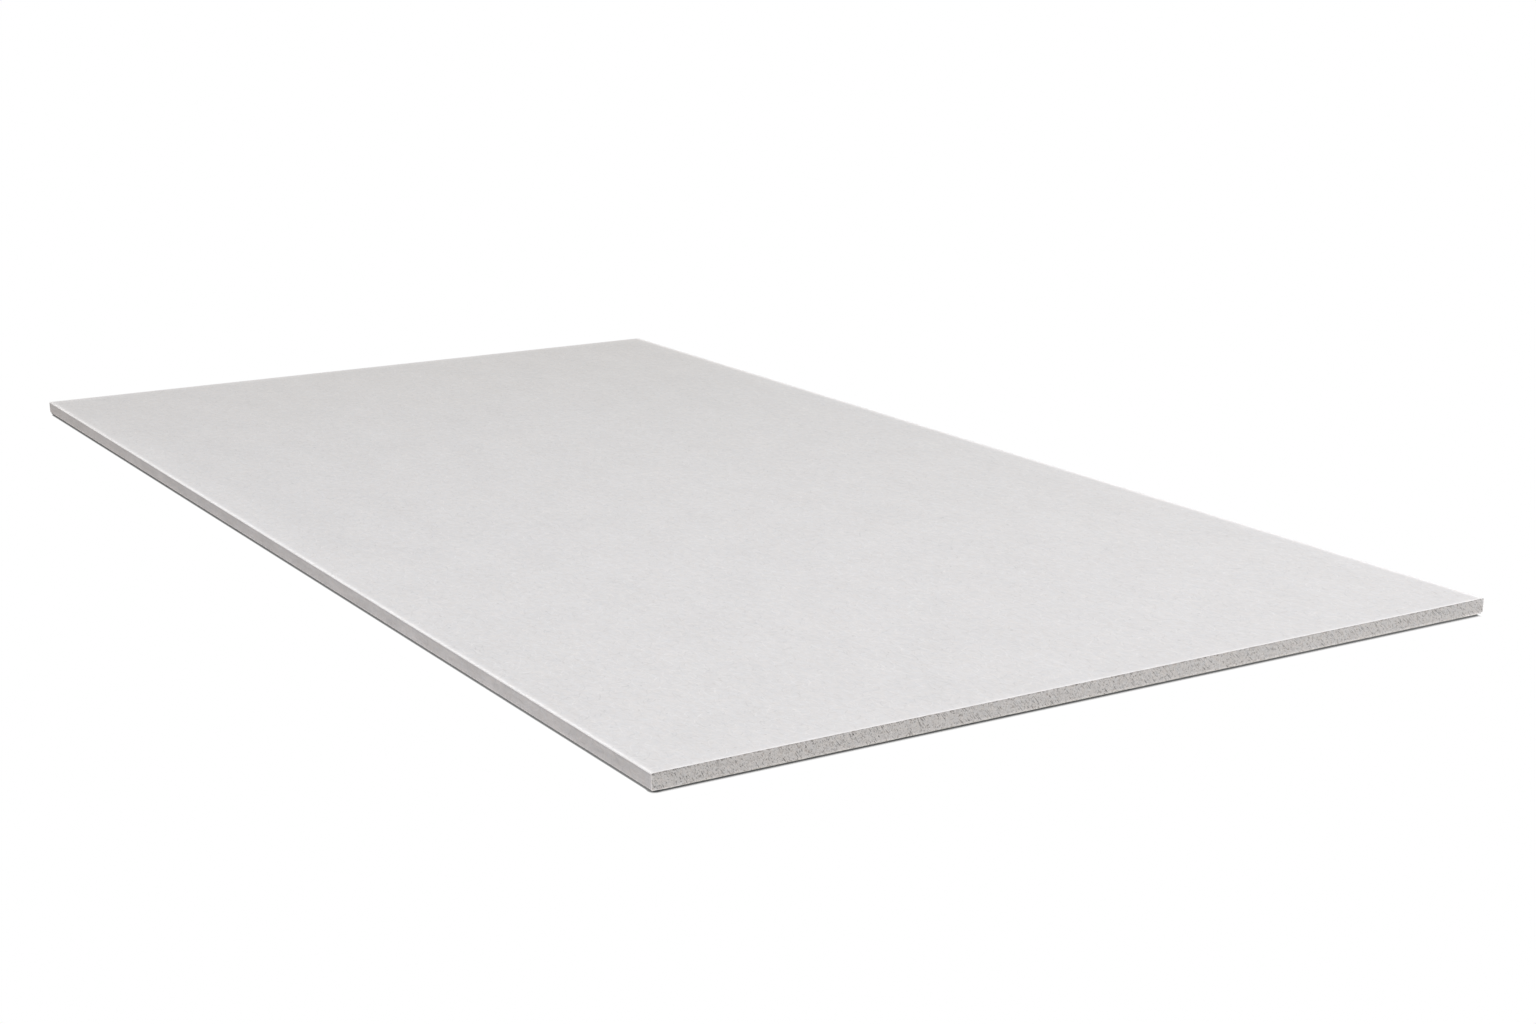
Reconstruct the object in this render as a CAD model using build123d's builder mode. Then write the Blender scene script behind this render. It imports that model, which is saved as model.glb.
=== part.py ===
"""Square-edge drywall sheet: a gypsum core cast between a wrapped face paper and a back paper.

The sheet lies face up. X runs along its length, Y across its width and Z up. The origin is the
centre of the underside, on the surface that the sheet lies on. All sizes are in millimetres.

The face paper covers the face, is creased round both long edges and is folded onto the back. The
back paper is glued over those two folds and stops short of the long edges. The two short ends are
sawn, so the core and the edges of both papers show there, flush with each other.
"""

import os

from build123d import *

# The board
LENGTH = 1800.0
WIDTH = 900.0
THICKNESS = 15.0

# The papers
FACE_PAPER = 0.3
BACK_PAPER = 0.3

# The wrapped long edges
CORE_CORNER_RADIUS = 0.7
FOLD_WIDTH = 25.0
BARE_FOLD_WIDTH = 8.0

# Levels above the surface that the sheet lies on
fold_underside = BACK_PAPER
fold_top = fold_underside + FACE_PAPER

# Widths across the board
between_folds = WIDTH - 2 * FOLD_WIDTH
back_paper_width = WIDTH - 2 * BARE_FOLD_WIDTH


def wrapped_outline(depth, mode=Mode.ADD):
    """Draws the section of everything inside the face paper's outer surface, cut back by a depth."""
    outer_radius = CORE_CORNER_RADIUS + FACE_PAPER
    height = THICKNESS - fold_underside
    with Locations((0, fold_underside + height / 2)):
        RectangleRounded(WIDTH - 2 * depth, height - 2 * depth, outer_radius - depth, mode=mode)


def back_strip(width, top, mode=Mode.ADD):
    """Draws a strip of the section centred on the back, from under the folds up to a level."""
    with Locations((0, fold_underside)):
        Rectangle(width, top - fold_underside, align=(Align.CENTER, Align.MIN), mode=mode)


# The core: it fills the wrapped section, and is thicker by one paper between the two folds
with BuildPart() as gypsum_core:
    with BuildSketch(Plane.YZ):
        wrapped_outline(FACE_PAPER)
        back_strip(between_folds, THICKNESS / 2)
    extrude(amount=LENGTH / 2, both=True)

# The face paper: one sheet over the face, round both long edges and onto the back
with BuildPart() as face_paper:
    with BuildSketch(Plane.YZ):
        wrapped_outline(0)
        wrapped_outline(FACE_PAPER, mode=Mode.SUBTRACT)
        back_strip(between_folds, fold_top, mode=Mode.SUBTRACT)
    extrude(amount=LENGTH / 2, both=True)

# The back paper: a flat sheet glued over the core and over the inner part of both folds
with BuildPart() as back_paper:
    with BuildSketch(Plane.XY):
        Rectangle(LENGTH, back_paper_width)
    extrude(amount=BACK_PAPER)

gypsum_core.part.label = "gypsum_core"
face_paper.part.label = "face_paper"
back_paper.part.label = "back_paper"

os.makedirs("parts", exist_ok=True)
export_step(gypsum_core.part, "parts/gypsum_core.step")
export_step(face_paper.part, "parts/face_paper.step")
export_step(back_paper.part, "parts/back_paper.step")
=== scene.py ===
"""Looks of a square-edge drywall sheet that lies face up on a white floor.

Sizes are in metres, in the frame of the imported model: X runs along the sheet, Y across it and Z up,
from the centre of the underside. The camera looks down on the corner where the near end, at +X, and
the near long side, at -Y, meet. Three pieces stand for the three solids:

  core        gypsum, with its two sawn ends cut open: pores, saw marks and crumbled rims
  face paper  covers the face, wraps both long edges and is folded onto the back
  back paper  a natural liner glued over the folds, cut short of the long edges
"""

import math

import bpy
import numpy as np
from mathutils import Matrix, Vector


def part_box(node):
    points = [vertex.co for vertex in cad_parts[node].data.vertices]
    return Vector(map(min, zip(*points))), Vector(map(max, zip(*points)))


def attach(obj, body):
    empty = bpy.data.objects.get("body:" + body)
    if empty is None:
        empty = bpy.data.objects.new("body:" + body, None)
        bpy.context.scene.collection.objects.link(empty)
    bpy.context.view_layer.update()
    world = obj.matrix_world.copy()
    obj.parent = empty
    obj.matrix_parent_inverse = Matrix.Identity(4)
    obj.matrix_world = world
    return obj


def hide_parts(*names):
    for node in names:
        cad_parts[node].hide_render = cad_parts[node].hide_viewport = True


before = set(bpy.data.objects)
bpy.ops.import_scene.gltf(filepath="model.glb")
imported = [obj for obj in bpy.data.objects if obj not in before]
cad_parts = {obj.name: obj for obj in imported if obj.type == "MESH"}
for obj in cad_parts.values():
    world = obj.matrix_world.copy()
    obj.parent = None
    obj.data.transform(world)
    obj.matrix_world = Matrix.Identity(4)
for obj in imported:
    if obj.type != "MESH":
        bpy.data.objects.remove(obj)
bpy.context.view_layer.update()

# The solids' boxes
core_low, core_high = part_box("gypsum_core")
face_low, face_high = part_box("face_paper")
back_low, back_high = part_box("back_paper")
half_length = face_high.x
half_width = face_high.y
sheet_top = face_high.z
paper = face_high.z - core_high.z

# The wrapped long edges
ARRIS_RADIUS = 0.001
FOLD_WIDTH = 0.025
fold_end = half_width - FOLD_WIDTH

# Cells of the meshes, and steps round the lower and the upper crease of a long side
END_CELL = 0.00055
FACE_CELL = 0.00075
SIDE_CELL = 0.0008
FOLD_CELL = 0.0012
BACK_CELL = 0.0015
LOWER_CREASE_STEPS = 6
UPPER_CREASE_STEPS = 8

# Edges that bend by more degrees than this are shaded sharp
SHARP_ANGLE = 35

# Rings of a paper's section: their distances from each end, and how many lie between
END_RINGS = (0.0012, 0.0022, 0.0034, 0.0050, 0.0075, 0.0105, 0.014, 0.019)
MIDDLE_RINGS = 4

# Worn lower corners: which end and side, the axis that the worn oval lies along, its length and height
X_AXIS, Y_AXIS, Z_AXIS = range(3)
WORN_CORNERS = (
    (-1, -1, X_AXIS, 0.020, 0.0019),
    (1, 1, Y_AXIS, 0.006, 0.0020),
)
WEAR_DEPTH = 0.016

# The least that the wear divides by
LEAST_SHARE = 1e-6
LEAST_DISTANCE = 1e-9

# Saw marks: their lean in degrees at the near and the far side, and the width, length and share of each kind
SAW_LEAN = (15, 45)
SAW_MARKS = ((0.0010, 0.005, 0.8), (0.004, 0.012, 0.2))

# Pores: how many, and their smallest and largest radius. Stretch, reach and depth multiply the radius
SMALL_PORES = (2000, 0.0003, 0.0006)
LARGE_PORES = (90, 0.0005, 0.0009)
PORE_STRETCH = (1.0, 2.2)
PORE_LEAN = (0.1, 0.6)
PORE_REACH = 1.5
PORE_DEPTH = 1.2

# Chips under the papers: how far they reach down, where and how steeply they deepen, and less at the foot
RIM_REACH = 0.0008
RIM_REACH_MORE = 0.0018
RIM_REACH_CELL = 0.0035
CHIP_CELL = 0.0018
CHIPS_BEGIN = 0.5
CHIP_SLOPE = 0.0036
FOOT_SHARE = 0.3

# Depths of the sawn ends: their margin, the saw marks, the grain, and what counts as a full hollow
CUT_MARGIN = 0.00025
MARK_DEPTH = 0.00010
GRAIN_DEPTH = 0.00005
FULL_HOLLOW = 0.0011

# The papers' cut ends: how far they are ragged, and the length and share of each wave
PAPER_RAG = 0.0005
RAG_WAVES = ((0.006, 0.35), (0.0013, 0.65))

# Colours, linear
FACE_COLOUR = (0.723, 0.710, 0.714)
GYPSUM_COLOUR = (0.655, 0.633, 0.624)
BACK_COLOUR = (0.46, 0.42, 0.36)
CUT_COLOUR = (0.76, 0.74, 0.71)
FLOOR_COLOUR = (0.80, 0.79, 0.775, 1.0)
SHADOW_COLOUR = (0.06, 0.06, 0.06, 1.0)
WHITE = (1.0, 1.0, 1.0, 1.0)


# Noise on a lattice

def ease(t):
    """Smooth step from 0 to 1."""
    return t * t * (3 - 2 * t)


def lattice_noise(rng, u, v):
    """Smooth noise from 0 to 1 that takes a new random value at each whole number of u and v."""
    u_floor = np.floor(u)
    v_floor = np.floor(v)
    i = (u_floor - u_floor.min()).astype(int)
    j = (v_floor - v_floor.min()).astype(int)
    values = rng.random((i.max() + 2, j.max() + 2))
    s = ease(u - u_floor)
    t = ease(v - v_floor)
    near = values[i, j] * (1 - s) + values[i + 1, j] * s
    far = values[i, j + 1] * (1 - s) + values[i + 1, j + 1] * s
    return near * (1 - t) + far * t


def line_noise(rng, u):
    """Smooth noise from 0 to 1 along one direction."""
    return lattice_noise(rng, u, np.zeros_like(u))


# Meshes

def wear(vertices):
    """Rounds the worn lower corners to a quarter of an oval, which dies away from the edge inwards."""
    worn = vertices.copy()
    for end, side, axis, length, height in WORN_CORNERS:
        from_edges = (half_length - end * vertices[:, X_AXIS], half_width - side * vertices[:, Y_AXIS])
        along = from_edges[axis]
        aside = from_edges[1 - axis]
        share = np.maximum(ease(np.clip(1 - aside / WEAR_DEPTH, 0, 1)), LEAST_SHARE)
        back = 1 - along / (length * share)
        down = 1 - vertices[:, Z_AXIS] / (height * share)
        near = (back > 0) & (down > 0)
        rounding = np.maximum(back, down) / np.maximum(np.hypot(back, down), LEAST_DISTANCE)
        inwards = length * share * back * (1 - rounding)
        worn[near, axis] -= ((end, side)[axis] * inwards)[near]
        worn[near, Z_AXIS] += (height * share * down * (1 - rounding))[near]
    return worn


def make_piece(name, vertices, faces, attributes=None):
    """Makes a mesh object from arrays of vertices and of four-cornered faces, with its point values."""
    mesh = bpy.data.meshes.new(name)
    mesh.from_pydata(vertices.tolist(), [], faces.tolist())
    mesh.validate()
    for label, values in (attributes or {}).items():
        layer = mesh.attributes.new(label, "FLOAT", "POINT")
        layer.data.foreach_set("value", values.astype(np.float32))
    mesh.shade_smooth()
    mesh.set_sharp_from_angle(angle=math.radians(SHARP_ANGLE))
    mesh.update()
    piece = bpy.data.objects.new(name, mesh)
    bpy.context.scene.collection.objects.link(piece)
    return piece


def ring_faces(first, second):
    """Faces between two closed loops of vertex numbers of the same length."""
    return np.column_stack([first, np.roll(first, -1), np.roll(second, -1), second])


def grid_faces(numbers):
    """Faces of a grid of vertex numbers."""
    corners = (numbers[:-1, :-1], numbers[1:, :-1], numbers[1:, 1:], numbers[:-1, 1:])
    return np.column_stack([corner.ravel() for corner in corners])


# The gypsum core

def core_section():
    """Grid of Y and Z over the core's section, from its lower outline to its upper one."""
    columns = round((core_high.y - core_low.y) / END_CELL)
    rows = round((core_high.z - core_low.z) / END_CELL)
    y = np.linspace(core_low.y, core_high.y, columns + 1)[:, None]
    share = np.linspace(0, 1, rows + 1)[None, :]
    radius = ARRIS_RADIUS - paper
    inset = np.clip(radius - (core_high.y - np.abs(y)), 0, radius)
    rounding = radius - np.sqrt(radius ** 2 - inset ** 2)
    lower = np.where(np.abs(y) < fold_end, core_low.z, core_low.z + paper) + rounding
    upper = core_high.z - rounding
    return y + 0 * share, lower + (upper - lower) * share


def saw_marks(rng, y, z):
    """Height of the saw's shallow marks, from 0 to 1. They lean over more towards the far side."""
    near_lean, far_lean = SAW_LEAN
    lean = np.radians(near_lean + (far_lean - near_lean) / 2 * (y / core_high.y + 1))
    across = y + z * np.tan(lean)
    return sum(share * lattice_noise(rng, across / width, z / length) for width, length, share in SAW_MARKS)


def pores(rng, y, z, count, smallest, largest):
    """Depth of round and slightly leaning pores, scattered over the section."""
    depth = np.zeros_like(y)
    for _ in range(count):
        centre_y = rng.uniform(core_low.y, core_high.y)
        centre_z = rng.uniform(core_low.z, core_high.z)
        radius = smallest + (largest - smallest) * rng.random() ** 3
        stretch = rng.uniform(*PORE_STRETCH)
        lean = rng.uniform(*PORE_LEAN)
        reach = radius * stretch * PORE_REACH
        first = max(int((centre_y - reach - core_low.y) / END_CELL), 0)
        last = int((centre_y + reach - core_low.y) / END_CELL) + 2
        near_y = y[first:last] - centre_y
        near_z = z[first:last] - centre_z
        across = (near_y + near_z * lean) / radius
        along = near_z / (radius * stretch)
        bowl = np.sqrt(np.clip(1 - across ** 2 - along ** 2, 0, 1)) * radius * PORE_DEPTH
        depth[first:last] = np.maximum(depth[first:last], bowl)
    return depth


def crumbled_rim(rng, y, z):
    """Depth of the chips that break away under the papers."""
    reach = RIM_REACH + RIM_REACH_MORE * line_noise(rng, y / RIM_REACH_CELL)
    chips = np.clip(line_noise(rng, y / CHIP_CELL) - CHIPS_BEGIN, 0, 1) * CHIP_SLOPE
    from_top = np.clip(1 - (core_high.z - z) / reach, 0, 1)
    from_bottom = np.clip(1 - (z - core_low.z) / reach, 0, 1)
    return chips * np.maximum(from_top, FOOT_SHARE * from_bottom)


def sawn_end(rng, y, z):
    """Depth behind the end of the sheet; how hollow each point is; and the saw marks, both from 0 to 1."""
    marks = saw_marks(rng, y, z)
    grain = rng.random(y.shape)
    small = pores(rng, y, z, *SMALL_PORES)
    large = pores(rng, y, z, *LARGE_PORES)
    hollow = np.maximum(np.maximum(small, large), crumbled_rim(rng, y, z))
    relief = MARK_DEPTH * (1 - marks) + GRAIN_DEPTH * grain
    return CUT_MARGIN + relief + hollow, np.clip(hollow / FULL_HOLLOW, 0, 1), marks


def make_core():
    """Makes the core: two sawn ends, each with its own random seed, and a plain skin between their rims."""
    y, z = core_section()
    columns, rows = y.shape
    numbers = np.arange(columns * rows).reshape(columns, rows)
    rim = np.concatenate([numbers[:-1, 0], numbers[-1, :-1], numbers[:0:-1, -1], numbers[0, :0:-1]])
    vertices, hollows, marks = [], [], []
    for end, seed in ((1, 11), (-1, 12)):
        depth, hollow, mark = sawn_end(np.random.default_rng(seed), y, z)
        vertices.append(np.column_stack([end * (half_length - depth).ravel(), y.ravel(), z.ravel()]))
        hollows.append(hollow.ravel())
        marks.append(mark.ravel())
    far = columns * rows
    near_faces = grid_faces(numbers)
    faces = np.concatenate([near_faces, near_faces[:, ::-1] + far, ring_faces(rim + far, rim)])
    values = {"hollow": np.concatenate(hollows), "marks": np.concatenate(marks)}
    return make_piece("core", wear(np.concatenate(vertices)), faces, values)


# The papers

def arc(centre_y, centre_z, radius, start, end, steps):
    """Points of an arc between two angles in degrees, without the last one."""
    angles = np.radians(np.linspace(start, end, steps, endpoint=False))
    return np.column_stack([centre_y + radius * np.cos(angles), centre_z + radius * np.sin(angles)])


def straight(start, end, cell):
    """Points of a straight line, without the last one."""
    length = math.dist(start, end)
    steps = max(round(length / cell), 1)
    return np.linspace(start, end, steps, endpoint=False)


def wrapped_line(depth):
    """Section of the face paper at a depth inside its outer surface, from one fold's end to the other's."""
    radius = ARRIS_RADIUS - depth
    side = half_width - depth
    bend = half_width - ARRIS_RADIUS
    under = face_low.z + depth
    over = sheet_top - depth
    low_bend = face_low.z + ARRIS_RADIUS
    high_bend = sheet_top - ARRIS_RADIUS
    half = np.concatenate([
        straight((fold_end, under), (bend, under), FOLD_CELL),
        arc(bend, low_bend, radius, -90, 0, LOWER_CREASE_STEPS),
        straight((side, low_bend), (side, high_bend), SIDE_CELL),
        arc(bend, high_bend, radius, 0, 90, UPPER_CREASE_STEPS),
        straight((bend, over), (0, over), FACE_CELL),
    ])
    other_half = (half * (-1, 1))[::-1]
    return np.concatenate([half, [(0, over)], other_half])


def ragged_cut(rng, line):
    """How far a paper's cut edge lies behind the end of the sheet, along the paper's section."""
    along = np.concatenate([[0], np.cumsum(np.hypot(*np.diff(line, axis=0).T))])
    return PAPER_RAG * sum(share * line_noise(rng, along / length) for length, share in RAG_WAVES)


def make_paper(name, outer, inner, seed):
    """Sweeps a paper's section along the sheet and cuts its two ends raggedly."""
    rng = np.random.default_rng(seed)
    loop = np.concatenate([outer, inner[::-1]])
    cuts = [ragged_cut(rng, outer) for _ in range(2)]
    far_cut, near_cut = (np.concatenate([cut, cut[::-1]]) for cut in cuts)
    towards_end = half_length - np.array(END_RINGS)
    middle = np.linspace(-half_length, half_length, MIDDLE_RINGS + 2)[1:-1]
    between = np.concatenate([-towards_end, middle, towards_end[::-1]])
    stations = [-half_length + far_cut, *[np.full(len(loop), x) for x in between], half_length - near_cut]
    vertices = wear(np.concatenate([np.column_stack([x, loop]) for x in stations]))
    rings = np.arange(len(vertices)).reshape(len(stations), len(loop))
    faces = [ring_faces(first, second) for first, second in zip(rings, rings[1:])]
    for ring in (rings[0], rings[-1][::-1]):
        across = np.column_stack([ring[:len(outer)], ring[::-1][:len(outer)]])
        faces.append(grid_faces(across)[:, ::-1])
    return make_piece(name, vertices, np.concatenate(faces))


def make_face_paper():
    """Makes the face paper, wrapped round both long edges."""
    return make_paper("face_paper_skin", wrapped_line(0), wrapped_line(paper), seed=21)


def make_back_paper():
    """Makes the flat back paper."""
    underside = straight((back_low.y, back_low.z), (back_high.y, back_low.z), BACK_CELL)
    underside = np.concatenate([underside, [(back_high.y, back_low.z)]])
    topside = underside + (0, back_high.z - back_low.z)
    return make_paper("back_paper_skin", underside, topside, seed=31)


# Nodes

# A fade is where it starts and ends and, unless it goes from 0 to 1, its level at each

# Where the sheet's two halves meet
MIDDLE_FADE = (-0.01, 0.01)

# Warm and cool specks and clouds of the face paper and the gypsum
HUE_SPECKS = {"size": 0.006, "seed": 15.0, "detail": 4.0, "roughness": 0.9}
HUE_CLOUDS = {"size": 0.05, "seed": 25.0}
HUE_CLOUD_WEIGHT = 0.12

# How strongly the sheet's dull materials shine
SPECULAR = 0.25


class Nodes:
    """A cleared node tree, with a short call for each kind of node."""

    def __init__(self, tree):
        self.tree = tree
        self.tree.nodes.clear()

    def add(self, kind, inputs=None, **settings):
        """Adds a node. An input is a value, or the output of another node."""
        node = self.tree.nodes.new(kind)
        for key, value in settings.items():
            setattr(node, key, value)
        for key, value in (inputs or {}).items():
            if isinstance(value, bpy.types.NodeSocket):
                self.tree.links.new(value, node.inputs[key])
            else:
                node.inputs[key].default_value = value
        return node

    def math(self, operation, first, second=0.0, third=0.0, clamp=False):
        """Works out one step on up to three values."""
        inputs = {0: first, 1: second, 2: third}
        return self.add("ShaderNodeMath", inputs, operation=operation, use_clamp=clamp).outputs[0]

    def chain(self, operation, values):
        """Joins values by one operation, from the first to the last."""
        joined = values[0]
        for value in values[1:]:
            joined = self.math(operation, joined, value)
        return joined

    def sum(self, *values):
        return self.chain("ADD", values)

    def product(self, *values):
        return self.chain("MULTIPLY", values)

    def largest(self, *values):
        return self.chain("MAXIMUM", values)

    def difference(self, first, second):
        return self.math("SUBTRACT", first, second)

    def absolute(self, value):
        return self.math("ABSOLUTE", value)

    def around_zero(self, noise):
        return self.difference(noise, 0.5)

    def total(self, terms, start=1.0):
        """Adds pairs of a value and its weight to a start."""
        added = start
        for value, weight in terms:
            added = self.math("MULTIPLY_ADD", value, weight, added)
        return added

    def vector(self, operation, first, second):
        """Works out one step on two vectors."""
        inputs = {0: first, 1: second}
        return self.add("ShaderNodeVectorMath", inputs, operation=operation).outputs["Vector"]

    def fade(self, value, start, end, first=0.0, last=1.0, shape="SMOOTHSTEP"):
        """Goes smoothly from first at start to last at end, and stays level outside."""
        inputs = {"Value": value, "From Min": start, "From Max": end, "To Min": first, "To Max": last}
        return self.add("ShaderNodeMapRange", inputs, interpolation_type=shape).outputs["Result"]

    def fade_straight(self, value, start, end, first=0.0, last=1.0):
        """Like fade, in a straight line."""
        return self.fade(value, start, end, first, last, shape="LINEAR")

    def noise(self, place, size, seed, detail=2.0, roughness=0.5):
        """Noise whose marks are about as large as size, around 0.5."""
        inputs = {"Vector": place, "W": seed, "Scale": 1 / size, "Detail": detail, "Roughness": roughness}
        return self.add("ShaderNodeTexNoise", inputs, noise_dimensions="4D").outputs["Fac"]

    def bump(self, height, distance, strength):
        inputs = {"Height": height, "Distance": distance, "Strength": strength}
        return self.add("ShaderNodeBump", inputs).outputs["Normal"]

    def mix(self, factor, first, second):
        """Goes from one colour to another."""
        inputs = {"Factor": factor, "A": (*first, 1.0), "B": (*second, 1.0)}
        return self.add("ShaderNodeMix", inputs, data_type="RGBA").outputs["Result"]

    def tint(self, colour, tone):
        """Colour times a tone."""
        inputs = {0: colour, "Scale": tone}
        return self.add("ShaderNodeVectorMath", inputs, operation="SCALE").outputs["Vector"]

    def shaded(self, colour, tone, warmth, blush=0.0):
        """Colour times a tone. Warmth adds red and takes blue away, and blush adds red alone."""
        red = self.sum(1.0, warmth, blush)
        balance = self.add("ShaderNodeCombineXYZ", {0: red, 1: 1.0, 2: self.difference(1.0, warmth)})
        return self.tint(self.vector("MULTIPLY", colour, balance.outputs[0]), tone)

    def seen(self):
        """1 for rays from the camera, also by way of gloss or glass, and 0 for light that falls on things."""
        light_path = self.add("ShaderNodeLightPath").outputs
        kinds = ("Is Camera Ray", "Is Glossy Ray", "Is Transmission Ray")
        return self.largest(*[light_path[kind] for kind in kinds])


class SheetNodes(Nodes):
    """The node tree of a new material, with the place in the sheet's frame."""

    def __init__(self, name):
        self.material = bpy.data.materials.new(name)
        self.material.use_nodes = True
        super().__init__(self.material.node_tree)
        self.place = self.add("ShaderNodeTexCoord").outputs["Object"]
        self.x, self.y, self.z = self.add("ShaderNodeSeparateXYZ", {0: self.place}).outputs

    def from_end(self):
        """Distance inwards from the closer of the two short ends."""
        return self.difference(half_length, self.absolute(self.x))

    def from_side(self):
        """Distance inwards from the closer of the two long sides."""
        return self.difference(half_width, self.absolute(self.y))

    def along(self, far, near):
        """Goes evenly from a value at the far end to another at the near end."""
        return self.fade_straight(self.x, -half_length, half_length, far, near)

    def across(self, near, far):
        """Goes evenly from a value at the near long side to another at the far one."""
        return self.fade_straight(self.y, -half_width, half_width, near, far)

    def by_end(self, far, near):
        """One value on the far half of the sheet's length and another on the near half."""
        return self.fade(self.x, *MIDDLE_FADE, far, near)

    def by_side(self, near, far):
        """One value on the near half of the sheet's width and another on the far half."""
        return self.fade(self.y, *MIDDLE_FADE, near, far)

    def hue_grain(self, place, weight):
        """Specks and slow clouds of warm and cool, around 0."""
        specks = self.around_zero(self.noise(place, **HUE_SPECKS))
        clouds = self.around_zero(self.noise(place, **HUE_CLOUDS))
        return self.product(self.total([(clouds, HUE_CLOUD_WEIGHT)], start=specks), weight)

    def show(self, shader):
        """Makes a shader the material's surface."""
        self.add("ShaderNodeOutputMaterial", {"Surface": shader.outputs[0]})
        return self.material

    def finish(self, colour, roughness, normal):
        """Gives the material a dull surface of a colour."""
        inputs = {"Base Color": colour, "Roughness": roughness, "Normal": normal}
        inputs["Specular IOR Level"] = SPECULAR
        return self.show(self.add("ShaderNodeBsdfPrincipled", inputs))


# The papers' texture

# Its marks are drawn out along the sheet
GRAIN_STRETCH = 1.9

PAPER_CLOUDS = {"size": 0.045, "seed": 1.0, "detail": 3.0}
PAPER_GRAIN = {"size": 0.006, "seed": 3.0, "detail": 4.0, "roughness": 0.95}
PAPER_SPECKS = {"size": 0.0035, "seed": 8.0, "detail": 0.0}
PAPER_FIBRES = {"size": 0.0008, "seed": 9.0, "detail": 3.0}
CLOUD_WEIGHT = 0.09
GRAIN_WEIGHT = 0.345
SPECK_FADE = (0.76, 0.83)
SPECK_WEIGHT = -0.12

# Each kind of curled thread: the cell that holds one, half its width and its seed
THREADS = (
    (0.007, 0.0005, 1),
    (0.008, 0.0006, 2),
    (0.010, 0.0005, 3),
    (0.012, 0.0006, 4),
    (0.009, 0.0007, 5),
)
THREAD_WEIGHT = 0.14
THREAD_SHIFT = (3.1, 1.7)
THREAD_CURL = 2.2

# Where a thread fades, as shares of its half width and of its cell
THREAD_EDGE = (0.3, 1.0)
THREAD_ENDS = (0.35, 0.6)


def unrolled(nodes):
    """Place on the face paper laid flat: along the sheet, and across it and down its long sides."""
    down = nodes.difference(sheet_top, nodes.z)
    across = nodes.product(nodes.sum(nodes.absolute(nodes.y), down), nodes.math("SIGN", nodes.y))
    along = nodes.product(nodes.x, 1 / GRAIN_STRETCH)
    return nodes.add("ShaderNodeCombineXYZ", {0: along, 1: across}).outputs[0]


def threads(nodes, flat, cell, width, seed):
    """One short curled thread in each cell of a random pattern: above 0 where pale, below 0 where dark."""
    shift = [step * seed for step in THREAD_SHIFT]
    shifted = nodes.vector("ADD", flat, (*shift, 0.0))
    cells = {"Vector": shifted, "Scale": 1 / cell}
    pattern = nodes.add("ShaderNodeTexVoronoi", cells, voronoi_dimensions="2D").outputs
    turn, bend, paleness = nodes.add("ShaderNodeSeparateColor", {0: pattern["Color"]}).outputs
    from_centre = nodes.vector("SUBTRACT", shifted, pattern["Position"])
    turning = {"Vector": from_centre, "Angle": nodes.product(turn, math.tau)}
    turned = nodes.add("ShaderNodeVectorRotate", turning, rotation_type="Z_AXIS").outputs[0]
    along, aside = nodes.add("ShaderNodeSeparateXYZ", {0: turned}).outputs[:2]
    curl = nodes.product(nodes.around_zero(bend), THREAD_CURL / cell)
    off_line = nodes.absolute(nodes.sum(aside, nodes.product(along, along, curl)))
    line = nodes.fade(off_line, *[share * width for share in THREAD_EDGE], 1.0, 0.0)
    reach = nodes.fade(nodes.absolute(along), *[share * cell for share in THREAD_ENDS], 1.0, 0.0)
    return nodes.product(line, reach, nodes.around_zero(paleness))


def paper_texture(nodes, flat):
    """Clouding, grain, curled threads and specks of a paper, around 0."""
    clouds = nodes.around_zero(nodes.noise(flat, **PAPER_CLOUDS))
    grain = nodes.around_zero(nodes.noise(flat, **PAPER_GRAIN))
    specks = nodes.fade(nodes.noise(flat, **PAPER_SPECKS), *SPECK_FADE)
    felt = [(threads(nodes, flat, *kind), THREAD_WEIGHT) for kind in THREADS]
    marks = [(clouds, CLOUD_WEIGHT), (grain, GRAIN_WEIGHT), (specks, SPECK_WEIGHT)]
    return nodes.total([*marks, *felt], start=0.0)


# The face paper's painted edge highlights

# Painted highlight lines along the long sides: their reach at the far and the near end
SIDE_LINE_REACH = (0.0110, 0.0072)

# What that reach gains, and how strong the lines are, at the near and the far side
SIDE_LINE_REACH_MORE = (0.0, 0.004)
SIDE_LINE_STRENGTH = (0.50, 0.56)
SIDE_LINE_FALL = 2.8

# Painted highlight lines along the short ends, stronger towards the far side, and a soft painted highlight
# inside each
END_LINE = (0.001, 0.0035, 1.0, 0.0)
END_LINE_STRENGTH = (0.15, 0.20)
END_SOFT_EDGE = (0.0, 0.010, 0.05, 0.0)

# Faint broad bands of painted light: one at the far end, one at the far side and one over part of the near
# side
FAR_END_BAND = (0.004, 0.022, 0.07, 0.0)
FAR_SIDE_BAND = (0.005, 0.045, 0.028, 0.0)
NEAR_SIDE_BAND = (0.008, 0.055, 0.040, 0.0)
NEAR_SIDE_BAND_BEGINS = (-0.85, -0.50)
NEAR_SIDE_BAND_STOPS = (0.0, 0.45, 1.0, 0.0)

# How much of the far side's band there is at the far and the near end
FAR_SIDE_BAND_SHARE = (1.0, 0.3)


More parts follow.
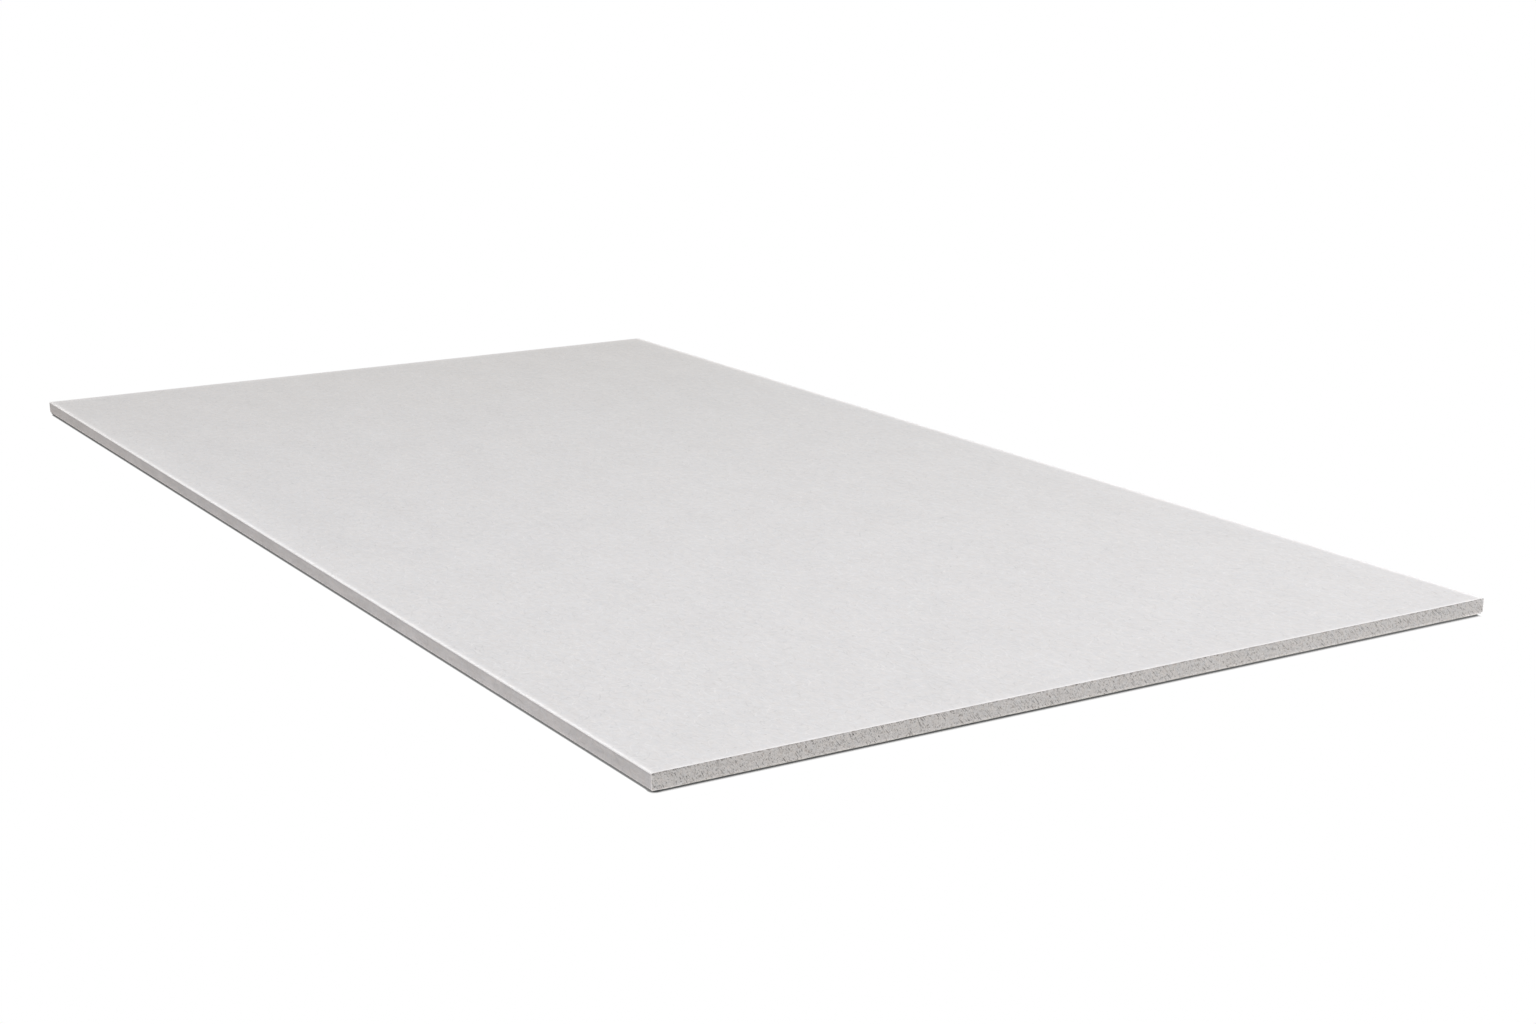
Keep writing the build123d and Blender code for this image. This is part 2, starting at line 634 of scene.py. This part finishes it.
def edge_highlights(nodes):
    """Painted highlights on the face: a pale line along each of its edges, and faint broad bands beside them.
    """
    from_side = nodes.from_side()
    from_end = nodes.from_end()
    reach = nodes.sum(nodes.along(*SIDE_LINE_REACH), nodes.by_side(*SIDE_LINE_REACH_MORE))
    closeness = nodes.math("SUBTRACT", 1.0, nodes.math("DIVIDE", from_side, reach), clamp=True)
    fallen = nodes.math("POWER", closeness, SIDE_LINE_FALL)
    side_line = nodes.product(fallen, nodes.by_side(*SIDE_LINE_STRENGTH))
    end_line = nodes.product(nodes.fade(from_end, *END_LINE), nodes.across(*END_LINE_STRENGTH))
    end_highlight = nodes.sum(nodes.fade(from_end, *END_SOFT_EDGE), end_line)
    far_end_band = nodes.product(nodes.fade(from_end, *FAR_END_BAND), nodes.by_end(1.0, 0.0))
    far_side_band = nodes.product(
        nodes.fade(from_side, *FAR_SIDE_BAND), nodes.by_side(0.0, 1.0), nodes.along(*FAR_SIDE_BAND_SHARE))
    near_side_band = nodes.product(
        nodes.fade(from_side, *NEAR_SIDE_BAND), nodes.by_side(1.0, 0.0),
        nodes.fade(nodes.x, *NEAR_SIDE_BAND_BEGINS), nodes.fade(nodes.x, *NEAR_SIDE_BAND_STOPS))
    return nodes.sum(far_side_band, near_side_band, nodes.largest(side_line, end_highlight, far_end_band))


# The long sides

SIDE_STREAKS = {"size": 0.005, "seed": 17.0, "detail": 3.0, "roughness": 0.85}
SIDE_STAINS = {"size": 0.03, "seed": 19.0}
STAIN_WEIGHT = 0.30

# The streaks' noise sees only this share of the length, so they are long
STREAK_SQUEEZE = (0.2, 1.0, 1.0)

# How strong the streaks are at the far and the near end
STREAK_WEIGHT = (0.24, 0.42)

# Fades of the level, up the side and along it: painted light and shade, and a darker strip at the far end
# A painted highlight line at the foot, and broader painted light above it
FOOT_HIGHLIGHT = (0.0012, 0.0030, 0.13, 0.0)
BROAD_FOOT_LIGHT = (0.0, 0.009, 0.07, 0.0)
# Painted shade just under the upper arris
UNDER_ARRIS_SHADE = (sheet_top - 0.0035, sheet_top - 0.0015, 0.0, -0.07)
# Painted light: darker over the far half and lighter towards the near end; then a darker strip at the far end
LIGHT_TOWARDS_NEAR_END = (0.0, half_length, -0.041, 0.032)
AT_FAR_END = (0.001 - half_length, 0.006 - half_length, -0.16, 0.0)


def side_tone(nodes, flat):
    """What the wrapped long sides add to the paper's tone: streaks and stains along them, painted light and
    shade, and a darker strip at the far end.
    """
    lengthwise = nodes.vector("MULTIPLY", flat, STREAK_SQUEEZE)
    streaks = nodes.around_zero(nodes.noise(lengthwise, **SIDE_STREAKS))
    stains = nodes.around_zero(nodes.noise(flat, **SIDE_STAINS))
    up_the_side = [nodes.fade(nodes.z, *fade) for fade in (BROAD_FOOT_LIGHT, FOOT_HIGHLIGHT, UNDER_ARRIS_SHADE)]
    along_it = [nodes.fade(nodes.x, *fade) for fade in (LIGHT_TOWARDS_NEAR_END, AT_FAR_END)]
    level = nodes.sum(*up_the_side, *along_it)
    return nodes.total([(stains, STAIN_WEIGHT), (streaks, nodes.along(*STREAK_WEIGHT))], start=level)


# The face paper

# Where the long sides' looks turn into the face's
FACE_BEGINS = (sheet_top - 0.0015, sheet_top - 0.0007)

# How much the painted highlights along the edges wander in strength
HIGHLIGHT_NOISE = {"size": 0.02, "seed": 12.0, "detail": 3.0}
HIGHLIGHT_WANDER = (0.3, 0.7, 0.88, 1.12)
# Pale at the cut ends: the paper's own cut edge, and a painted highlight on the face just beside it
CUT_EDGE_AND_HIGHLIGHT = (0.0006, 0.0015, 0.28, 0.0)
# The most the tone may reach: higher on the arris than on the flat face, so the painted highlight is
# brightest there
PALEST = (sheet_top - 0.0006, sheet_top - 0.0001, 1.55, 1.35)

# What the texture gains on the long sides, at the far and the near end
SIDE_TEXTURE_GAIN = (-0.75, 0.15)

# The face yellows towards the corner of the far end and the far side
YELLOW_LEAN = -0.9
YELLOW = (-0.4, 1.26, 0.0, 0.015)

# Warmth of the long sides at the far and the near end
SIDE_WARMTH = (0.008, 0.000)

FACE_HUE_GRAIN = 0.10
SIDE_HUE_GRAIN_MORE = 0.04
SIDE_BLUSH = 0.020
FAR_END_WARMTH = (-half_length, -0.3, 0.006, 0.0)
FACE_ROUGHNESS = 0.85
FACE_BUMP = {"distance": 0.00008, "strength": 0.5}
FACE_BUMP_BEGINS = (0.0005, 0.003, 0.1, 1.0)


def face_material():
    """Pale paper with painted highlights along its edges, and streaked long sides with painted light and
    shade.
    """
    nodes = SheetNodes("face_liner")
    flat = unrolled(nodes)
    on_face = nodes.fade(nodes.z, *FACE_BEGINS)
    on_side = nodes.difference(1.0, on_face)
    wander = nodes.fade(nodes.noise(flat, **HIGHLIGHT_NOISE), *HIGHLIGHT_WANDER)
    # Painted highlights along the edges, on the face and its arrises
    highlighted = nodes.product(edge_highlights(nodes), wander, on_face)
    cut_edge_and_highlight = nodes.fade(nodes.from_end(), *CUT_EDGE_AND_HIGHLIGHT)
    texture_share = nodes.total([(on_side, nodes.along(*SIDE_TEXTURE_GAIN))])
    texture = nodes.product(paper_texture(nodes, flat), texture_share)
    level = nodes.total([(side_tone(nodes, flat), on_side)])
    tone = nodes.sum(texture, nodes.largest(highlighted, cut_edge_and_highlight), level)
    tone = nodes.math("MINIMUM", tone, nodes.fade(nodes.z, *PALEST))
    yellow = nodes.fade_straight(nodes.total([(nodes.x, YELLOW_LEAN)], start=nodes.y), *YELLOW)
    hue_weight = nodes.total([(on_side, SIDE_HUE_GRAIN_MORE)], start=FACE_HUE_GRAIN)
    side_warmth = nodes.product(on_side, nodes.along(*SIDE_WARMTH))
    far_end_warmth = nodes.fade(nodes.x, *FAR_END_WARMTH)
    warmth = nodes.sum(nodes.hue_grain(flat, hue_weight), yellow, side_warmth, far_end_warmth)
    blush = nodes.difference(nodes.product(on_side, SIDE_BLUSH), yellow)
    colour = nodes.shaded(FACE_COLOUR, tone, warmth, blush)
    fibres = nodes.around_zero(nodes.noise(flat, **PAPER_FIBRES))
    height = nodes.product(fibres, nodes.fade(nodes.from_side(), *FACE_BUMP_BEGINS))
    return nodes.finish(colour, FACE_ROUGHNESS, nodes.bump(height, **FACE_BUMP))


# The back paper

BEHIND_CUT = (0.0004, 0.0009)
BACK_ROUGHNESS = 0.9
BACK_BUMP = {"distance": 0.0001, "strength": 0.6}


def back_material():
    """Grey paper, pale where it is cut through."""
    nodes = SheetNodes("back_liner")
    flat = unrolled(nodes)
    colour = nodes.mix(nodes.fade(nodes.from_end(), *BEHIND_CUT), CUT_COLOUR, BACK_COLOUR)
    tone = nodes.sum(1.0, paper_texture(nodes, flat))
    fibres = nodes.noise(flat, **PAPER_FIBRES)
    return nodes.finish(nodes.tint(colour, tone), BACK_ROUGHNESS, nodes.bump(fibres, **BACK_BUMP))


# The gypsum

GYPSUM_CLOUDS = {"size": 0.03, "seed": 1.0, "detail": 3.0}
GYPSUM_GRAIN = {"size": 0.0010, "seed": 2.0, "roughness": 0.8}
GYPSUM_PITS = {"size": 0.0011, "seed": 5.0, "detail": 0.0}
GYPSUM_SCRATCHES = {"size": 0.0011, "seed": 21.0, "detail": 0.0}
GYPSUM_RELIEF = {"size": 0.0006, "seed": 3.0, "detail": 3.0}
PIT_FADE = (0.67, 0.74)
SCRATCH_FADE = (0.66, 0.72)
PIT_WEIGHT = -0.50
SCRATCH_WEIGHT = -0.56

# Pairs of values at the near and the far side
SCRATCH_LEAN = (0.50, 1.15)
FLECK_STRENGTH = (1.03, 0.81)
LOW_RIM_HIGHLIGHT_STRENGTH = (0.16, 0.21)
GYPSUM_WARMTH = (0.002, -0.004)

# The scratches' noise sees only a share of the height, so they are long, most so on the far half
SCRATCH_SQUEEZE = (-half_width, 0.0, 0.28, 0.17)

# Fades of the level: painted highlights at the end's foot and in from the long sides, and darker parts across
# the end
LOW_RIM_HIGHLIGHT = (0.0010, 0.0026, 1.0, 0.0)
SIDE_RIM_HIGHLIGHT = (0.0006, 0.0015, 0.13, 0.0)
FAR_PART_OF_END = (0.15, half_width, 0.0, -0.050)
NEAR_PART_OF_END = (-half_width, -0.32, -0.016, 0.0)

GYPSUM_LEVEL = 1.061
GYPSUM_CLOUD_WEIGHT = 0.02
# Painted shade in the pores and chipped rims
HOLLOW_SHADE = -0.15
SAW_MARK_WEIGHT = 0.05
GYPSUM_HUE_GRAIN = 0.16
HOLLOW_WARMTH = 0.03
GYPSUM_ROUGHNESS = 0.95
GYPSUM_BUMP = {"distance": 0.0003, "strength": 0.8}


def gypsum_flecks(nodes):
    """Fine grain with dark pits and dark leaning scratches, around 0."""
    grain = nodes.around_zero(nodes.noise(nodes.place, **GYPSUM_GRAIN))
    pits = nodes.fade(nodes.noise(nodes.place, **GYPSUM_PITS), *PIT_FADE)
    leaned = nodes.total([(nodes.z, nodes.across(*SCRATCH_LEAN))], start=nodes.y)
    squeezed = nodes.product(nodes.z, nodes.fade_straight(nodes.y, *SCRATCH_SQUEEZE))
    leaning = nodes.add("ShaderNodeCombineXYZ", {0: leaned, 1: squeezed, 2: nodes.x}).outputs[0]
    scratches = nodes.fade(nodes.noise(leaning, **GYPSUM_SCRATCHES), *SCRATCH_FADE)
    flecks = nodes.total([(scratches, SCRATCH_WEIGHT), (pits, PIT_WEIGHT)], start=grain)
    return nodes.product(flecks, nodes.across(*FLECK_STRENGTH))


def gypsum_material():
    """Sawn gypsum with flecks, painted shade in its hollows, and painted highlights at the foot and beside
    the wrapped long sides.
    """
    nodes = SheetNodes("gypsum")
    hollow = nodes.add("ShaderNodeAttribute", attribute_name="hollow").outputs["Fac"]
    marks = nodes.around_zero(nodes.add("ShaderNodeAttribute", attribute_name="marks").outputs["Fac"])
    clouds = nodes.around_zero(nodes.noise(nodes.place, **GYPSUM_CLOUDS))
    # Painted highlights: a pale line along the foot, and beside the wrapped long sides
    low_highlight = nodes.product(nodes.fade(nodes.z, *LOW_RIM_HIGHLIGHT), nodes.across(*LOW_RIM_HIGHLIGHT_STRENGTH))
    side_highlight = nodes.fade(nodes.from_side(), *SIDE_RIM_HIGHLIGHT)
    across_end = [nodes.fade(nodes.y, *fade) for fade in (FAR_PART_OF_END, NEAR_PART_OF_END)]
    level = nodes.sum(GYPSUM_LEVEL, gypsum_flecks(nodes), low_highlight, side_highlight, *across_end)
    # Clouds, painted shade in the hollows, and the saw marks
    weights = [(clouds, GYPSUM_CLOUD_WEIGHT), (hollow, HOLLOW_SHADE), (marks, SAW_MARK_WEIGHT)]
    tone = nodes.total(weights, start=level)
    hue = nodes.sum(nodes.hue_grain(nodes.place, GYPSUM_HUE_GRAIN), nodes.across(*GYPSUM_WARMTH))
    colour = nodes.shaded(GYPSUM_COLOUR, tone, nodes.total([(hollow, HOLLOW_WARMTH)], start=hue))
    relief = nodes.noise(nodes.place, **GYPSUM_RELIEF)
    return nodes.finish(colour, GYPSUM_ROUGHNESS, nodes.bump(relief, **GYPSUM_BUMP))


# The floor and its contact shadow

# How far it reaches beside a long side, at the far and the near end
SIDE_SHADOWS = (0.0062, 0.0040)

# How far it reaches past the near end, at the near and the far side
END_SHADOWS = (0.0118, 0.0145)
SHADOW_MARGIN = 1.5
SHADOW_SAMPLES = 48

# Its darkest level, as a fade along the long sides and across the near end
SIDE_DARKEST = (-0.45, half_length, 0.10, 0.16)
END_DARKEST = (-0.30, half_width, 0.00, 0.08)

# Where the shadows of a long side and of the end meet
CORNER_BLEND = (-0.004, 0.004)

# What a corner adds to the openness: its end and side, and a fade over the distance from it
SHADOW_CORNERS = (
    (1, -1, (0.0, 0.010, -0.12, 0.0)),
    (-1, -1, (0.005, 0.022, 0.40, 0.0)),
    (1, 1, (0.005, 0.012, 0.40, 0.0)),
)

# How bright the floor looks at some values of the openness
SHADOW_RAMP = ((0.64, 0.02), (0.69, 0.18), (0.74, 0.50), (0.80, 0.84), (0.87, 0.96), (0.96, 1.0))


def shadow_ramp(nodes, openness):
    """Brightness of the floor at an openness."""
    ramp = nodes.add("ShaderNodeValToRGB", {"Fac": openness})
    elements = ramp.color_ramp.elements
    while len(elements) < len(SHADOW_RAMP):
        elements.new(0.5)
    for element, (position, level) in zip(elements, SHADOW_RAMP):
        element.position = position
        element.color = (level, level, level, 1.0)
    return ramp.outputs[0]


def floor_material():
    """White where it is seen, but for a short dark shadow at the sheet; a plain pale floor for light."""
    nodes = SheetNodes("floor_white")
    past_end = nodes.difference(nodes.x, half_length)
    past_far_end = nodes.difference(-half_length, nodes.x)
    past_side = nodes.difference(nodes.absolute(nodes.y), half_width)
    past_sheet = nodes.largest(past_side, past_end, past_far_end)
    beside = nodes.math("LESS_THAN", past_sheet, SHADOW_MARGIN * max(END_SHADOWS))
    at_end = nodes.fade(nodes.difference(past_end, past_side), *CORNER_BLEND)
    reach = nodes.fade_straight(at_end, 0.0, 1.0, nodes.along(*SIDE_SHADOWS), nodes.across(*END_SHADOWS))
    occlusion = nodes.add("ShaderNodeAmbientOcclusion", {"Distance": reach}, samples=SHADOW_SAMPLES)
    openness = occlusion.outputs["AO"]
    for end, side, corner_fade in SHADOW_CORNERS:
        corner = (end * half_length, side * half_width, 0.0)
        apart = nodes.add("ShaderNodeVectorMath", {0: nodes.place, 1: corner}, operation="DISTANCE")
        openness = nodes.sum(openness, nodes.fade(apart.outputs["Value"], *corner_fade))
    side_darkest = nodes.fade_straight(nodes.x, *SIDE_DARKEST)
    end_darkest = nodes.fade_straight(nodes.y, *END_DARKEST)
    darkest = nodes.fade_straight(at_end, 0.0, 1.0, side_darkest, end_darkest)
    level = nodes.largest(shadow_ramp(nodes, openness), darkest)
    glow = nodes.add("ShaderNodeEmission", {"Color": level}).outputs[0]
    dull = nodes.add("ShaderNodeBsdfDiffuse", {"Color": SHADOW_COLOUR}).outputs[0]
    shaded = nodes.add("ShaderNodeAddShader", {0: glow, 1: dull}).outputs[0]
    white = nodes.add("ShaderNodeEmission", {"Color": WHITE}).outputs[0]
    shown = nodes.add("ShaderNodeMixShader", {0: beside, 1: white, 2: shaded}).outputs[0]
    plain = nodes.add("ShaderNodeBsdfDiffuse", {"Color": FLOOR_COLOUR}).outputs[0]
    return nodes.show(nodes.add("ShaderNodeMixShader", {0: nodes.seen(), 1: plain, 2: shown}))


# The sheet

def dress(piece, node, material):
    """Gives a piece its material and puts it in the place of its solid."""
    piece.data.materials.append(material)
    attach(piece, "root")
    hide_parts(node)


dress(make_core(), "gypsum_core", gypsum_material())
dress(make_face_paper(), "face_paper", face_material())
dress(make_back_paper(), "back_paper", back_material())


# The stage

FLOOR_REACH = 40.0
WORLD_LEVEL = 0.32

# Lamps: name, place, target, size and power in watts
SOFTBOXES = (
    ("key", (1.35, -0.65, 5.5), (0.4, 0.0, 0.0), 3.0, 210.0),
    ("low_fill", (2.2, 2.0, 1.0), (0.5, 0.2, 0.0), 1.0, 17.0),
)

# The camera that took the photograph, found from the sheet's outline in it: pixels, degrees and metres
IMAGE_SIZE = (1536, 1024)
IMAGE_CENTRE = (895.3, 507.5)
FOCAL_PIXELS = 2494.0
SENSOR_WIDTH_MM = 36.0
YAW, PITCH, ROLL = 32.466, 13.644, -0.407
CAMERA_PLACE = (2.5525, -1.2746, 0.6724)
CLIP_END = 200.0


def make_floor():
    """Makes a wide floor at the sheet's underside."""
    corners = np.array([(x, y, 0.0) for x, y in ((-1, -1), (1, -1), (1, 1), (-1, 1))]) * FLOOR_REACH
    floor = make_piece("floor", corners, np.array([[0, 1, 2, 3]]))
    floor.data.materials.append(floor_material())


def make_world():
    """Makes plain light from all sides, which looks white where it is seen."""
    world = bpy.data.worlds.new("studio")
    world.use_nodes = True
    nodes = Nodes(world.node_tree)
    lit = nodes.add("ShaderNodeBackground", {"Color": WHITE, "Strength": WORLD_LEVEL})
    white = nodes.add("ShaderNodeBackground", {"Color": WHITE})
    choice = nodes.add("ShaderNodeMixShader", {0: nodes.seen(), 1: lit.outputs[0], 2: white.outputs[0]})
    nodes.add("ShaderNodeOutputWorld", {"Surface": choice.outputs[0]})
    bpy.context.scene.world = world


def make_softbox(name, place, target, size, power):
    """Makes a square soft lamp that points at a target."""
    light = bpy.data.lights.new(name, "AREA")
    light.shape = "SQUARE"
    light.size = size
    light.energy = power
    lamp = bpy.data.objects.new(name, light)
    lamp.location = place
    lamp.rotation_mode = "QUATERNION"
    lamp.rotation_quaternion = (Vector(target) - Vector(place)).to_track_quat("-Z", "Y")
    bpy.context.scene.collection.objects.link(lamp)


def make_camera():
    """Makes the photograph's camera."""
    image_width, image_height = IMAGE_SIZE
    centre_x, centre_y = IMAGE_CENTRE
    yaw, pitch, roll = (math.radians(angle) for angle in (YAW, PITCH, ROLL))
    data = bpy.data.cameras.new("camera")
    data.sensor_width = SENSOR_WIDTH_MM
    data.lens = FOCAL_PIXELS / image_width * data.sensor_width
    data.shift_x = (image_width / 2 - centre_x) / image_width
    data.shift_y = (centre_y - image_height / 2) / image_width
    data.clip_end = CLIP_END
    camera = bpy.data.objects.new("camera", data)
    bpy.context.scene.collection.objects.link(camera)
    forward = Vector((-math.cos(yaw) * math.cos(pitch), math.sin(yaw) * math.cos(pitch), -math.sin(pitch)))
    level_right = Vector((math.sin(yaw), math.cos(yaw), 0.0))
    level_up = level_right.cross(forward)
    right = level_right * math.cos(roll) + level_up * math.sin(roll)
    up = level_up * math.cos(roll) - level_right * math.sin(roll)
    turn = Matrix((right, up, -forward)).transposed()
    camera.matrix_world = Matrix.Translation(CAMERA_PLACE) @ turn.to_4x4()
    bpy.context.scene.camera = camera


make_floor()
make_world()
for softbox in SOFTBOXES:
    make_softbox(*softbox)
make_camera()
bpy.context.scene.view_settings.view_transform = "Standard"
